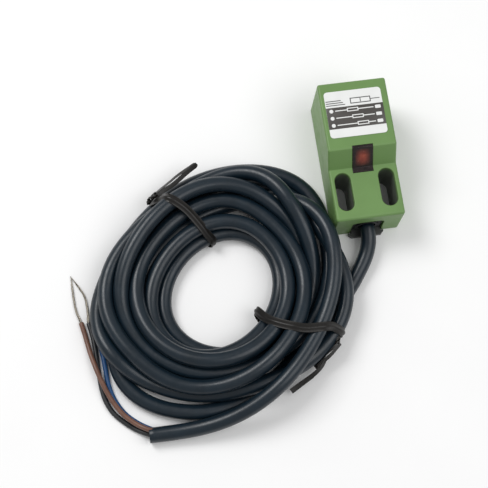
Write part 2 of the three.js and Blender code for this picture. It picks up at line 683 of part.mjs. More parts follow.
function makeCoilAndTies() {
  const outline = new THREE.Shape(coilOutline(COIL_OUTER));
  outline.holes.push(new THREE.Path(coilOutline(COIL_INNER)));
  const ring = new THREE.ExtrudeGeometry(outline, {
    depth: COIL_HEIGHT - 2 * COIL_BEVEL,
    bevelEnabled: true,
    bevelThickness: COIL_BEVEL,
    bevelSize: COIL_BEVEL,
    bevelOffset: -COIL_BEVEL,
    bevelSegments: 3,
  });
  ring.translate(COIL_CENTRE[0], COIL_CENTRE[1], COIL_BEVEL);
  let coil = solid(ring);
  for (const tie of TIES) coil = coil.subtract(solid(tieBand(tie, GAP)));
  const feedEnd = new THREE.Vector3(...FEED[FEED.length - 1]);
  const room = new THREE.SphereGeometry(CABLE_DIAMETER / 2 + FEED_ROOM, 12, 8);
  coil = coil.subtract(solid(room.translate(feedEnd.x, feedEnd.y, feedEnd.z)));
  coil = coil.subtract(solid(tube(FEED, CABLE_DIAMETER + 2 * FEED_ROOM, 8, 12)));
  add("cable_coil", geometryOf(coil), 0x2a3238, 0.6, 0, cord);
  for (const tie of TIES) {
    const tail = solid(tube(tie.tail, TIE_BAND * 0.6, 8));
    const band = solid(tieBand(tie, 0)).add(tail);
    add(tie.name, geometryOf(band), 0x3a3632, 0.7, 0, cord);
  }
}

makeHousing();
makeBaseCover();
makeGrommet();
makeCableEntry();
makeLens();
makeLabel();
makeSensingCoil();
makeBoard();
makeCable();
makeCoilAndTies();

export default part;
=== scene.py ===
"""Looks of a rectangular inductive proximity sensor with a tied coil of cable."""

import math

import bpy
import numpy as np
from mathutils import Matrix, Vector


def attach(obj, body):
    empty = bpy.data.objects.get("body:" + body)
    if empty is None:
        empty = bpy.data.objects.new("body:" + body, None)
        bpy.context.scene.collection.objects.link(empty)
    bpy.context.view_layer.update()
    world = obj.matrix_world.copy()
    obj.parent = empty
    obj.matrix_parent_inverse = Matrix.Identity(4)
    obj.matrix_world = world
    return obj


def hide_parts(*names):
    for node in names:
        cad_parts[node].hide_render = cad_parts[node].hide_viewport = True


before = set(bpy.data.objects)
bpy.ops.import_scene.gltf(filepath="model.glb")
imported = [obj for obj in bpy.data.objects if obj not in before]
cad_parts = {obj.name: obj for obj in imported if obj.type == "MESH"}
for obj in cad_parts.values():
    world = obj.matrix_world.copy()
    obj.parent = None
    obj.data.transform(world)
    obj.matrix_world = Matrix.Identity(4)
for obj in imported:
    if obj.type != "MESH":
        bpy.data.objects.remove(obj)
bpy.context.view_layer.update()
MM = 0.001
BODY = "root"


# ---------------------------------------------------------------- camera
CAMERA_PLACE = (-63.81, -111.58, 348.27)  # mm
CAMERA_FORWARD = (0.08676, 0.26053, -0.96156)
CAMERA_UP = (0.12582, 0.95460, 0.26999)
CAMERA_LENS = 101.14  # mm, on a 36 mm sensor


def add_camera():
    data = bpy.data.cameras.new("camera")
    data.sensor_width = 36
    data.lens = CAMERA_LENS
    data.clip_start = 0.01
    data.clip_end = 10
    camera = bpy.data.objects.new("camera", data)
    bpy.context.collection.objects.link(camera)
    back = -Vector(CAMERA_FORWARD).normalized()
    right = Vector(CAMERA_UP).cross(back).normalized()
    up = back.cross(right)
    turn = Matrix((right, up, back)).transposed()
    camera.matrix_world = Matrix.Translation(Vector(CAMERA_PLACE) * MM) @ turn.to_4x4()
    bpy.context.scene.camera = camera


# ---------------------------------------------------------------- mesh helpers
def mesh_object(name, vertices, faces, smooth=True):
    """An object from points in mm and faces."""
    mesh = bpy.data.meshes.new(name)
    mesh.from_pydata([tuple(float(c) * MM for c in v) for v in vertices], [], faces)
    mesh.update()
    piece = bpy.data.objects.new(name, mesh)
    bpy.context.collection.objects.link(piece)
    if smooth:
        mesh.shade_smooth()
    return piece


def directions(points):
    """Unit tangents of a polyline."""
    ahead = np.gradient(points, axis=0)
    return ahead / np.linalg.norm(ahead, axis=1)[:, None]


def frames_along(points, first_side=(0, 0, 1)):
    """Two unit vectors across the line at each point, turning as little as they can."""
    tangent = directions(points)
    side = np.array(first_side, float)
    sides = []
    for t in tangent:
        side = side - t * side.dot(t)
        side = side / np.linalg.norm(side)
        sides.append(side)
    sides = np.array(sides)
    return sides, np.cross(tangent, sides)


def spline(points, step):
    """Smooth line through points, resampled every step mm."""
    p = np.array(points, float)
    ends = [2 * p[0] - p[1], *p, 2 * p[-1] - p[-2]]
    fine = []
    for a, b, c, d in zip(ends, ends[1:], ends[2:], ends[3:]):
        for t in np.linspace(0, 1, 12, endpoint=False):
            fine.append(
                0.5 * (2 * b + (c - a) * t + (2 * a - 5 * b + 4 * c - d) * t**2
                       + (3 * b - a - 3 * c + d) * t**3)
            )
    fine.append(p[-1])
    return resampled(np.array(fine), step)


def places_along(points):
    """Distance from the line's start to each of its points."""
    return np.concatenate([[0], np.cumsum(np.linalg.norm(np.diff(points, axis=0), axis=1))])


def resampled(points, step):
    """The same line with points every step mm, or just under."""
    along = places_along(points)
    count = max(2, int(math.ceil(along[-1] / step)) + 1)
    at = np.linspace(0, along[-1], count)
    return np.stack([np.interp(at, along, points[:, i]) for i in range(3)], axis=1)


def length_of(points):
    return float(np.linalg.norm(np.diff(points, axis=0), axis=1).sum())


def tube(name, points, radius, sides=16, end=()):
    """Round tube, closed at both ends. end holds (push, radius) steps that shape its last face."""
    side, other = frames_along(points)
    vertices = []

    def ring(centre, u, v, r):
        start = len(vertices)
        for k in range(sides):
            angle = 2 * math.pi * k / sides
            vertices.append(centre + r * (math.cos(angle) * u + math.sin(angle) * v))
        return list(range(start, start + sides))

    rings = [ring(p, u, v, float(radius)) for p, u, v in zip(points, side, other)]
    outward = directions(points)[-1]
    rings += [ring(points[-1] + push * outward, side[-1], other[-1], r) for push, r in end]
    faces = []
    for low, high in zip(rings, rings[1:]):
        for k in range(sides):
            n = (k + 1) % sides
            faces.append((low[k], low[n], high[n], high[k]))
    faces.append(tuple(reversed(rings[0])))
    faces.append(tuple(rings[-1]))
    return mesh_object(name, vertices, faces)


# ---------------------------------------------------------------- cable route
CABLE = 4.0  # diameter, mm
CABLE_RADIUS = CABLE / 2
LAYER = 3.6  # height from one layer of turns to the next
FEED = [
    (0, -17.3, 4.3),
    (0, -18.5, 4.3),
    (0, -20.5, 4.1),
    (-0.3, -22.6, 3.4),
    (-1.3, -25.2, 2.7),
    (-3.0, -28.0, 2.2),
    (-4.9, -30.6, 2.05),
]
COIL_CENTRE = (-40, -29)
STATION = 45  # degrees clockwise from +X, between the places where a turn's radius is given
# Each turn: (radius, layer) at its eight stations. Layer 0 lies on the floor.
TURNS = [  # (radius in mm, layer)
    [(33.5, 0), (26.5, 0), (30.0, 0), (33.0, 0), (27.5, 0), (23.0, 0), (26.0, 0), (28.6, 0)],
    [(32.4, 0.7), (29.5, 0.3), (28.5, 0), (31.4, 0), (30.4, 0), (26.2, 0), (29.8, 0), (32.8, 0)],
    [(26.4, 0), (22.9, 0), (22.4, 0.2), (25.3, 0.7), (27.2, 1), (25.4, 1.4), (27.6, 1.2), (25.6, 1)],
    [(21.4, 0), (18.8, 0), (18.5, 0), (19.8, 0), (17.4, 0), (14.4, 0), (16.2, 0), (18.4, 0)],
    [(16.8, 0), (16.4, 0.4), (19.4, 0.4), (21.8, 0.4), (19.5, 0.6), (16.6, 1), (18.2, 1), (19.4, 1)],
    [(17.2, 1), (17.6, 1), (19.8, 1), (22.9, 1), (23.4, 1), (21.6, 1.2), (24.4, 1.2), (24.2, 1)],
    [(21.6, 1), (22.5, 1), (25.2, 1), (28.9, 1), (30.5, 0.8), (26.0, 0.6), (29.0, 0.4), (30.4, 0.6)],
    [(25.0, 0.4), (22.4, 0), (22.4, 0), (24.5, 0), (22.6, 0), (19.0, 0), (22.8, 0), (27.2, 0)],
]
START = [(10, 32.6, 0), (22, 29.0, 0)]
# Places between stations where a turn is drawn in or let out: (turn, degrees, radius, layer).
BETWEEN = [
    (1, 249, 22.6, 0),
    (2, 13, 32.8, 1.0),
    (2, 249, 26.6, 0),
    (3, 249, 25.2, 1.3),
    (4, 160, 20.0, 0),
    (4, 249, 14.6, 0),
    (5, 249, 16.6, 1.0),
    (6, 249, 21.0, 1.2),
    (7, 249, 26.0, 0.7),
    (7, 292, 33.0, 0.4),
    (8, 249, 18.6, 0),
]
# The last of the cable comes out over the coil's right side, then leaves it.
RISE = [(328, 31.2, 0.4), (347, 31.3, 0.9), (360, 29.6, 1.1), (375, 27.8, 1.1), (392, 27.0, 1.1)]
TAIL = [(409, 27.2, 1.0), (424, 28.2, 0.7), (436, 30.1, 0.3), (448, 32.5, 0), (459, 35.3, 0)]
TAIL_END = [(-50.0, -64.8, 2.05), (-54.0, -65.0, 2.05), (-58.4, -64.5, 2.05), (-63.4, -63.0, 2.05)]


def eased(knots, values, at):
    """Smooth curve through values given at uneven knots, read at other places."""
    knots = np.array(knots, float)
    values = np.array(values, float)
    slopes = np.gradient(values, knots)
    place = np.clip(np.searchsorted(knots, at, side="right") - 1, 0, len(knots) - 2)
    width = knots[place + 1] - knots[place]
    t = (at - knots[place]) / width
    return (
        (1 + 2 * t) * (1 - t) ** 2 * values[place]
        + t * (1 - t) ** 2 * width * slopes[place]
        + t**2 * (3 - 2 * t) * values[place + 1]
        + t**2 * (t - 1) * width * slopes[place + 1]
    )


def wound_route():
    """Points of the whole cable: feed, eight turns, and the tail over them."""
    stops = list(START)
    for number, turn in enumerate(TURNS):
        for station, (radius, layer) in enumerate(turn):
            angle = 360 * number + STATION * station
            if angle > START[-1][0]:
                stops.append((angle, radius, layer))
    stops += [(360 * (turn - 1) + angle, radius, layer) for turn, angle, radius, layer in BETWEEN]
    stops.sort()
    last = 360 * (len(TURNS) - 1)
    stops += [(last + angle, radius, layer) for angle, radius, layer in RISE + TAIL]
    angles = [stop[0] for stop in stops]
    every = np.arange(angles[0], angles[-1], 6)
    radius = eased(angles, [stop[1] for stop in stops], every)
    layer = eased(angles, [stop[2] for stop in stops], every)
    turned = np.radians(-every)
    coil = np.stack(
        [
            COIL_CENTRE[0] + radius * np.cos(turned),
            COIL_CENTRE[1] + radius * np.sin(turned),
            CABLE_RADIUS + LAYER * layer,
        ],
        axis=1,
    )
    return np.concatenate([FEED, coil, TAIL_END])


WALL_SIDE = -9.0  # the housing's left side
WALL_REAR = -18.0
STEP = 2.0  # between the points of the cable while it settles
STIFFNESS = 12.0
HOLD = 0.08  # how strongly the cable keeps to its route, against touching turns
UPRIGHT = 0.5  # stiffness up and down, as a share of STIFFNESS
LAST_STIFFNESS = 3.0  # while the turns are last moved apart
ROUTE_EVEN = 4.0  # mm over which the drawn route is evened out
REST_EVEN = 5.0  # mm, for the shape the cable would lie in by itself
ROUNDS, LAST_ROUNDS = 300, 50  # with the route and the cable's weight, then with contact alone
FIXED = 8  # points at the outlet that don't move
BLEND = 10  # points over which the evened route takes over from the drawn one
NEIGHBOURS = 5  # points along the cable that are too near each other to count as touching
LIFT = 1.3  # upper layers start this many times as high, and sink
SINK = 0.05  # mm in a round
OVERPUSH = 1.2


def smoothed(points, width):
    """The same line with its short wiggles averaged out over a width in mm; its ends stay."""
    reach = int(3 * width / STEP)
    weight = np.exp(-0.5 * (np.arange(-reach, reach + 1) * STEP / width) ** 2)
    before = 2 * points[0] - points[reach:0:-1]
    after = 2 * points[-1] - points[-2 : -reach - 2 : -1]
    longer = np.concatenate([before, points, after])
    even = [np.convolve(longer[:, axis], weight / weight.sum(), "valid") for axis in range(3)]
    return np.stack(even, axis=1)


def parted(p, pairs):
    """Moves touching turns apart, up off the floor and off the housing's wall."""
    i, j = pairs
    gap = p[j] - p[i]
    apart = np.sqrt((gap * gap).sum(1))
    close = apart < CABLE
    a, b = i[close], j[close]
    unit = gap[close] / np.maximum(apart[close], 1e-6)[:, None]
    push = 0.5 * (CABLE - apart[close])[:, None] * unit
    move = np.zeros_like(p)
    hits = np.zeros(len(p))
    np.add.at(move, a, -push)
    np.add.at(move, b, push)
    np.add.at(hits, a, 1)
    np.add.at(hits, b, 1)
    p = p + OVERPUSH * move / np.maximum(hits, 1)[:, None]
    p[:, 2] = np.maximum(p[:, 2], CABLE_RADIUS)
    beside = p[:, 1] > WALL_REAR - CABLE_RADIUS
    p[beside, 0] = np.minimum(p[beside, 0], WALL_SIDE - CABLE_RADIUS)
    return p


def settled(route):
    """The route as cable: turns a diameter apart, resting on the floor and on each other."""
    target = spline(route, STEP)
    count = len(target)
    eased_target = smoothed(target, ROUTE_EVEN)
    blend = np.clip((np.arange(count) - FIXED + 2) / BLEND, 0, 1)[:, None]
    target = target + blend * (eased_target - target)
    p = target.copy()
    bend = np.diff(np.eye(count), 2, axis=0)
    stiff = STIFFNESS * bend.T @ bend
    flat = np.linalg.inv((1 + HOLD) * np.eye(count) + stiff)
    upright = np.linalg.inv(np.eye(count) + UPRIGHT * stiff)
    light = np.linalg.inv(np.eye(count) + LAST_STIFFNESS * bend.T @ bend)
    held = np.zeros(count, bool)
    held[:FIXED] = True
    keep = HOLD * target[:, :2] + stiff @ smoothed(target, REST_EVEN)[:, :2]
    p[:, 2] = CABLE_RADIUS + (p[:, 2] - CABLE_RADIUS) * LIFT
    pairs = np.triu_indices(count, NEIGHBOURS)
    for _ in range(ROUNDS):
        p[:, 2] -= SINK
        for _ in range(2):
            p = parted(p, pairs)
            p[held] = target[held]
        p[:, :2] = flat @ (p[:, :2] + keep)
        p[:, 2] = upright @ p[:, 2]
        p[:, 2] = np.maximum(p[:, 2], CABLE_RADIUS)
        p[held] = target[held]
    for _ in range(LAST_ROUNDS):
        for _ in range(4):
            p = parted(p, pairs)
            p[held] = target[held]
        p = light @ p
        p[:, 2] = np.maximum(p[:, 2], CABLE_RADIUS)
        p[held] = target[held]
    return p


# ---------------------------------------------------------------- materials
class Surface:
    """A principled material with a small set of procedural layers."""

    def __init__(self, name):
        self.material = bpy.data.materials.new(name)
        self.material.use_nodes = True
        self.tree = self.material.node_tree
        self.shader = self.tree.nodes["Principled BSDF"]

    def node(self, kind, **values):
        node = self.tree.nodes.new(kind)
        for key, value in values.items():
            setattr(node, key, value)
        return node

    def link(self, out, into):
        self.tree.links.new(out, into)

    def place(self):
        """Position in the row frame, in metres."""
        return self.node("ShaderNodeTexCoord").outputs["Object"]

    def noise(self, scale, detail):
        node = self.node("ShaderNodeTexNoise")
        node.inputs["Scale"].default_value = scale
        node.inputs["Detail"].default_value = detail
        node.inputs["Roughness"].default_value = 0.5
        self.link(self.place(), node.inputs["Vector"])
        return node.outputs["Fac"]

    def ramp(self, value, stops):
        node = self.node("ShaderNodeValToRGB")
        elements = node.color_ramp.elements
        while len(elements) < len(stops):
            elements.new(0.5)
        for element, (at, colour) in zip(elements, stops):
            element.position = at
            element.color = (*colour, 1)
        self.link(value, node.inputs["Fac"])
        return node.outputs["Color"]

    def span(self, value, low, high, into_low=0.0, into_high=1.0):
        node = self.node("ShaderNodeMapRange")
        node.inputs["From Min"].default_value = low
        node.inputs["From Max"].default_value = high
        node.inputs["To Min"].default_value = into_low
        node.inputs["To Max"].default_value = into_high
        self.link(value, node.inputs["Value"])
        return node.outputs["Result"]

    def mix(self, factor, first, second):
        node = self.node("ShaderNodeMix", data_type="RGBA")
        for name, value in (("Factor", factor), ("A", first), ("B", second)):
            if isinstance(value, tuple):
                node.inputs[name].default_value = (*value, 1)
            else:
                self.link(value, node.inputs[name])
        return node.outputs["Result"]

    def colour(self, value):
        self.link(value, self.shader.inputs["Base Color"])
        return self

    def rough(self, value):
        self.link(value, self.shader.inputs["Roughness"])
        return self

    def bump(self, value, strength, distance):
        node = self.node("ShaderNodeBump")
        node.inputs["Strength"].default_value = strength
        node.inputs["Distance"].default_value = distance
        self.link(value, node.inputs["Height"])
        self.link(node.outputs["Normal"], self.shader.inputs["Normal"])
        return self

    def fixed(self, **values):
        for name, value in values.items():
            self.shader.inputs[name.replace("_", " ")].default_value = value
        return self


def varied(colour, change):
    """The colour made lighter or darker by a factor."""
    return tuple(min(1.0, c * change) for c in colour)


def plastic(name, colour, roughness=0.45, grain=9000, mottle=0.06, wear=0.05, relief=0.00002, shine=0.45):
    """Moulded plastic: slight colour variation, a fine grain and uneven gloss."""
    s = Surface(name)
    cloud = s.noise(160, 4)
    s.colour(s.ramp(cloud, [(0.3, varied(colour, 1 - mottle)), (0.7, varied(colour, 1 + mottle))]))
    fine = s.noise(grain, 2)
    s.rough(s.span(cloud, 0.3, 0.7, roughness - wear, roughness + wear))
    s.bump(fine, 0.25, relief)
    s.fixed(Specular_IOR_Level=shine)
    return s.material


def jacket_material():
    """Matt blue-black PVC with a faint drawn texture, dust and small scuffs."""
    s = Surface("cable_jacket")
    base = (0.0052, 0.0130, 0.0210)
    cloud = s.noise(240, 4)
    tone = s.ramp(cloud, [(0.3, varied(base, 0.86)), (0.7, varied(base, 1.16))])
    specks = s.span(s.noise(5200, 1), 0.74, 0.80)
    s.colour(s.mix(specks, tone, (0.06, 0.07, 0.08)))
    s.rough(s.span(s.noise(900, 3), 0.3, 0.7, 0.28, 0.38))
    s.bump(s.noise(3600, 2), 0.20, 0.00003)
    s.fixed(Specular_IOR_Level=0.45)
    return s.material


def core_material(name, colour):
    s = Surface(name)
    cloud = s.noise(500, 3)
    s.colour(s.ramp(cloud, [(0.3, varied(colour, 0.82)), (0.7, varied(colour, 1.18))]))
    s.rough(s.span(cloud, 0.3, 0.7, 0.32, 0.46))
    s.bump(s.noise(4000, 2), 0.15, 0.00002)
    return s.material


def metal(name, colour, roughness):
    s = Surface(name)
    cloud = s.noise(900, 3)
    s.colour(s.ramp(cloud, [(0.3, varied(colour, 0.78)), (0.7, varied(colour, 1.1))]))
    s.rough(s.span(cloud, 0.3, 0.7, roughness - 0.08, roughness + 0.08))
    s.bump(s.noise(6000, 2), 0.15, 0.00001)
    s.fixed(Metallic=1.0)
    return s.material


def near(s, axis, middle, half, soft, mirrored=False):
    """1 where a coordinate is within half of middle, fading to 0 over soft. Lengths in mm."""
    split = s.node("ShaderNodeSeparateXYZ")
    s.link(s.place(), split.inputs["Vector"])
    value = split.outputs[axis]
    if mirrored:
        folded = s.node("ShaderNodeMath", operation="ABSOLUTE")
        s.link(value, folded.inputs[0])
        value = folded.outputs[0]
    away = s.node("ShaderNodeMath", operation="SUBTRACT")
    away.inputs[1].default_value = middle * MM
    s.link(value, away.inputs[0])
    size = s.node("ShaderNodeMath", operation="ABSOLUTE")
    s.link(away.outputs[0], size.inputs[0])
    return s.span(size.outputs[0], half * MM, (half + soft) * MM, 1.0, 0.0)


def product(s, *values):
    """The values multiplied together."""
    total = values[0]
    for value in values[1:]:
        times = s.node("ShaderNodeMath", operation="MULTIPLY")
        s.link(total, times.inputs[0])
        s.link(value, times.inputs[1])
        total = times.outputs[0]
    return total


def housing_material():
    """Green moulded plastic, with painted shade on the walls inside the screw slots."""
    s = Surface("housing_plastic")
    cloud = s.noise(110, 4)
    base = (0.138, 0.252, 0.080)
    tone = s.ramp(cloud, [(0.3, varied(base, 0.95)), (0.7, varied(base, 1.05))])
    # Painted shade: below the deck, the slot walls get a dull dark grey-green in place of the green, for the
    # shade deep in the slots.
    inside = product(
        s,
        near(s, "X", SLOT_X, SLOT_WIDTH / 2 + 0.05, 0.1, mirrored=True),
        near(s, "Y", SLOT_Y, SLOT_LENGTH / 2 + 0.05, 0.1),
        near(s, "Z", 0.0, DECK - 2.2, 1.8),
    )
    s.colour(s.mix(inside, tone, (0.105, 0.125, 0.095)))
    s.rough(s.span(s.noise(420, 3), 0.3, 0.7, 0.38, 0.48))
    s.bump(s.noise(7000, 3), 0.22, 0.00003)
    s.fixed(Specular_IOR_Level=0.4)
    return s.material


def lens_material(centre, half_width, half_length):
    """Smoked lens: dark, with the red indicator glowing dimly through its middle."""
    s = Surface("lens")
    glow = product(
        s,
        near(s, "X", centre[0], 0.25 * half_width, 0.95 * half_width),
        near(s, "Y", centre[1], 0.25 * half_length, 0.95 * half_length),
    )
    cloud = s.noise(900, 3)
    lit = s.ramp(cloud, [(0.3, (0.22, 0.040, 0.026)), (0.7, (0.34, 0.075, 0.045))])
    dark = s.ramp(cloud, [(0.3, (0.010, 0.007, 0.007)), (0.7, (0.020, 0.012, 0.012))])
    s.colour(s.mix(glow, dark, lit))
    s.rough(s.span(cloud, 0.3, 0.7, 0.20, 0.30))
    s.bump(s.noise(1500, 2), 0.08, 0.00002)
    s.fixed(Specular_IOR_Level=0.35)
    return s.material


def laminate_material():
    """Circuit board with a faint weave under its green lacquer."""
    s = Surface("board_laminate")
    weave = s.node("ShaderNodeTexChecker")
    weave.inputs["Scale"].default_value = 2500
    weave.inputs["Color1"].default_value = (0.018, 0.115, 0.040, 1)
    weave.inputs["Color2"].default_value = (0.026, 0.150, 0.055, 1)
    s.link(s.place(), weave.inputs["Vector"])
    s.colour(weave.outputs["Color"])
    s.rough(s.span(s.noise(600, 2), 0.3, 0.7, 0.25, 0.4))
    s.bump(weave.outputs["Fac"], 0.1, 0.00002)
    return s.material


def winding_material():
    """Enamelled copper wire wound in fine turns."""
    s = Surface("enamelled_copper")
    turns = s.node("ShaderNodeTexWave", wave_type="BANDS", bands_direction="Y")
    turns.inputs["Scale"].default_value = 1400
    turns.inputs["Distortion"].default_value = 0.4
    s.link(s.place(), turns.inputs["Vector"])
    s.colour(s.ramp(turns.outputs["Fac"], [(0.2, (0.30, 0.09, 0.03)), (0.8, (0.62, 0.24, 0.09))]))
    s.rough(s.span(s.noise(900, 2), 0.3, 0.7, 0.25, 0.4))
    s.bump(turns.outputs["Fac"], 0.5, 0.00005)
    s.fixed(Metallic=0.9)
    return s.material


def floor_material():
    s = Surface("floor_paper")
    cloud = s.noise(30, 3)
    s.colour(s.ramp(cloud, [(0.3, (0.915, 0.915, 0.915)), (0.7, (0.93, 0.93, 0.93))]))
    s.rough(s.span(cloud, 0.3, 0.7, 0.75, 0.9))
    s.fixed(Specular_IOR_Level=0.1)
    return s.material


JACKET = jacket_material()
BROWN_PVC = core_material("core_brown_pvc", (0.150, 0.072, 0.048))
BLACK_PVC = core_material("core_black_pvc", (0.016, 0.018, 0.020))
BLUE_PVC = core_material("core_blue_pvc", (0.010, 0.060, 0.17))
STRAND = metal("tinned_copper", (0.34, 0.31, 0.26), 0.32)
TIE = plastic("tie_plastic", (0.010, 0.009, 0.008), 0.36, 5000, 0.25, 0.08, 0.00003, 0.35)
DARK = plastic("dark_plastic", (0.045, 0.047, 0.046), 0.40)
RUBBER = plastic("grommet_rubber", (0.014, 0.014, 0.015), 0.6)


def dress(piece, material):
    """Gives a piece its material and its body."""
    piece.data.materials.clear()
    piece.data.materials.append(material)
    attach(piece, BODY)
    return piece


# ---------------------------------------------------------------- cable, cores and strands
BROWN = [
    (-58.9, -64.6, 2.7),
    (-61.4, -63.7, 2.8),
    (-63.7, -62.7, 2.9),
    (-66.4, -60.9, 2.3),
    (-69.0, -58.4, 2.1),
    (-71.0, -55.5, 2.05),
    (-72.5, -52.4, 2.1),
    (-73.6, -49.4, 2.15),
    (-74.6, -46.0, 2.1),
    (-75.5, -42.4, 1.5),
    (-76.1, -39.2, 0.9),
    (-76.6, -36.0, 0.7),
    (-77.2, -32.9, 0.7),
]
BLACK = [
    (-59.2, -65.2, 1.7),
    (-61.8, -64.5, 1.5),
    (-64.2, -63.5, 1.3),
    (-66.9, -61.9, 0.8),
    (-69.8, -59.4, 0.65),
    (-72.0, -56.8, 0.65),
    (-73.4, -53.6, 0.65),
    (-74.0, -50.2, 0.65),
    (-74.2, -46.6, 0.65),
    (-74.3, -43.2, 0.65),
    (-74.4, -40.0, 0.65),
    (-74.7, -36.6, 0.65),
    (-75.3, -33.2, 0.65),
]
BLUE = [
    (-58.6, -64.3, 1.6),
    (-61.0, -63.4, 1.5),
    (-63.2, -62.4, 1.3),
    (-65.9, -60.6, 0.8),
    (-68.6, -58.1, 0.65),
    (-70.4, -55.3, 0.65),
    (-71.6, -52.4, 0.65),
    (-72.2, -49.4, 0.65),
    (-72.4, -46.0, 0.65),
    (-72.6, -42.8, 0.65),
    (-72.9, -40.0, 0.65),
    (-73.0, -39.0, 0.65),
]
BROWN_END = [
    (-77.1, -33.4, 0.65), (-77.35, -32.4, 0.6), (-78.1, -29.6, 0.5), (-78.4, -26.0, 0.4), (-78.5, -20.1, 0.4),
]
BLACK_END = [
    (-75.2, -33.7, 0.65),
    (-75.4, -32.7, 0.6),
    (-75.2, -30.0, 0.5),
    (-75.5, -26.2, 0.4),
    (-76.5, -23.8, 0.4),
    (-78.3, -20.6, 0.4),
]
CORE = 1.3  # diameter of an insulated core, mm
STRANDS = 5
STRAND_RADIUS = 0.11
STRAND_PITCH = 9.0  # mm along a conductor for one turn of its strands
JACKET_WALL = 0.55
CUT_DEPTH = 1.6  # how far the filler sits back inside the jacket's cut end


def make_cable():
    line = settled(wound_route())
    fine = spline(line, 1.2)
    bore = CABLE_RADIUS - JACKET_WALL
    cut = [(0.03, CABLE_RADIUS - 0.03), (0.03, bore + 0.03), (-CUT_DEPTH, bore)]
    cable = tube("cable", fine, CABLE_RADIUS, 18, cut)
    dress(cable, JACKET)
    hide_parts("cable_feed", "cable_coil", "cable_tail")
    return cable, fine


def make_strands(name, route, node):
    """Bare strands twisted loosely round each other, closing to a point."""
    middle = spline(route, 0.5)
    side, other = frames_along(middle)
    count = len(middle)
    along = np.linspace(0, length_of(middle), count)
    closing = np.sqrt(np.clip((along[-1] - along) / 5.0, 0.05, 1))
    pieces = []
    for k in range(STRANDS):
        angle = 2 * math.pi * (k / STRANDS + along / STRAND_PITCH)
        spread = 0.17 * closing * (1 + 0.25 * np.sin(along * 0.9 + 2.1 * k))
        path = middle + (side * np.cos(angle)[:, None] + other * np.sin(angle)[:, None]) * spread[:, None]
        piece = tube(f"{name}_strand_{k + 1}", path[: count - 2 * k], STRAND_RADIUS, 8)
        pieces.append(dress(piece, STRAND))
    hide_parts(node)
    return pieces


def make_core(name, route, material):
    path = spline(route, 0.8)
    core = tube(name, path, CORE / 2, 14, [(0.08, CORE / 2 - 0.06), (0.08, 0.3)])
    dress(core, material)
    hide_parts(name.replace("insulation", "core"))


add_camera()
CABLE_PIECE, CABLE_LINE = make_cable()
BROWN_STRANDS = make_strands("brown", BROWN_END, "conductor_brown")
BLACK_STRANDS = make_strands("black", BLACK_END, "conductor_black")
make_core("insulation_brown", BROWN, BROWN_PVC)
make_core("insulation_black", BLACK, BLACK_PVC)
make_core("insulation_blue", BLUE, BLUE_PVC)


# ---------------------------------------------------------------- twist ties
SLACK = 1.1  # radius of the bend where a band stands off the bundle
TIE_GAP = 0.22  # from the cable's surface to a band's middle
TIE_LOWEST = 0.5  # height of a band's middle where it runs on the floor, under the turns
TIE_SECTION = [  # across the tie, outward: two thin wings and the wire's ridge
    (-1.15, -0.14), (1.15, -0.14), (1.2, 0.0), (1.12, 0.12), (0.55, 0.16), (0.34, 0.40),
    (0.0, 0.50), (-0.34, 0.40), (-0.55, 0.16), (-1.12, 0.12), (-1.2, 0.0),
]


def swept(name, path, normal, section, closed=False, twist=None, size=None):
    """A section carried along a path. normal holds the outward direction at each point."""
    path = np.array(path, float)
    if closed:
        tangent = np.roll(path, -1, axis=0) - np.roll(path, 1, axis=0)
    else:
        tangent = np.gradient(path, axis=0)
    tangent = tangent / np.linalg.norm(tangent, axis=1)[:, None]
    normal = normal - tangent * (normal * tangent).sum(1)[:, None]
    normal = normal / np.linalg.norm(normal, axis=1)[:, None]
    across = np.cross(tangent, normal)
    if twist is not None:
        c, s = np.cos(twist)[:, None], np.sin(twist)[:, None]
        normal, across = c * normal + s * across, c * across - s * normal
    scale = np.ones(len(path)) if size is None else size
    vertices = []
    for p, n, w, k in zip(path, normal, across, scale):
        for a, h in section:
            vertices.append(p + k * (a * w + h * n))
    sides = len(section)
    count = len(path)
    faces = []
    for i in range(count if closed else count - 1):
        low, high = i * sides, ((i + 1) % count) * sides
        for k in range(sides):
            m = (k + 1) % sides
            faces.append((low + k, high + k, high + m, low + m))
    if not closed:
        faces.append(tuple(range(sides)))
        faces.append(tuple(reversed(range((count - 1) * sides, count * sides))))
    piece = mesh_object(name, vertices, faces)
    piece.data.set_sharp_from_angle(angle=math.radians(50))
    return piece


def hull(points):
    """Convex outline of flat points, anticlockwise."""
    points = sorted(set(map(tuple, points)))

    def half(seq):
        out = []
        for p in seq:
            while len(out) > 1 and (
                (out[-1][0] - out[-2][0]) * (p[1] - out[-2][1])
                - (out[-1][1] - out[-2][1]) * (p[0] - out[-2][0])
            ) <= 0:
                out.pop()
            out.append(p)
        return out[:-1]

    return half(points) + half(points[::-1])


def crossings(plan):
    """Where the cable passes under a plan line: (distance along it, height, squareness) of each pass."""
    found = []
    along = places_along(plan)
    for a, b in zip(CABLE_LINE, CABLE_LINE[1:]):
        for k, (c, d) in enumerate(zip(plan, plan[1:])):
            r, q = b[:2] - a[:2], d - c
            cross = r[0] * q[1] - r[1] * q[0]
            if abs(cross) < 1e-9:
                continue
            t = ((c - a[:2])[0] * q[1] - (c - a[:2])[1] * q[0]) / cross
            u = ((c - a[:2])[0] * r[1] - (c - a[:2])[1] * r[0]) / cross
            if 0 <= t < 1 and 0 <= u < 1:
                lean = abs(cross) / (np.linalg.norm(r) * np.linalg.norm(q))
                found.append((along[k] + u * (along[k + 1] - along[k]), a[2] + t * (b[2] - a[2]), lean))
    return found


def turned_by(count):
    return [2 * math.pi * k / count for k in range(count)]


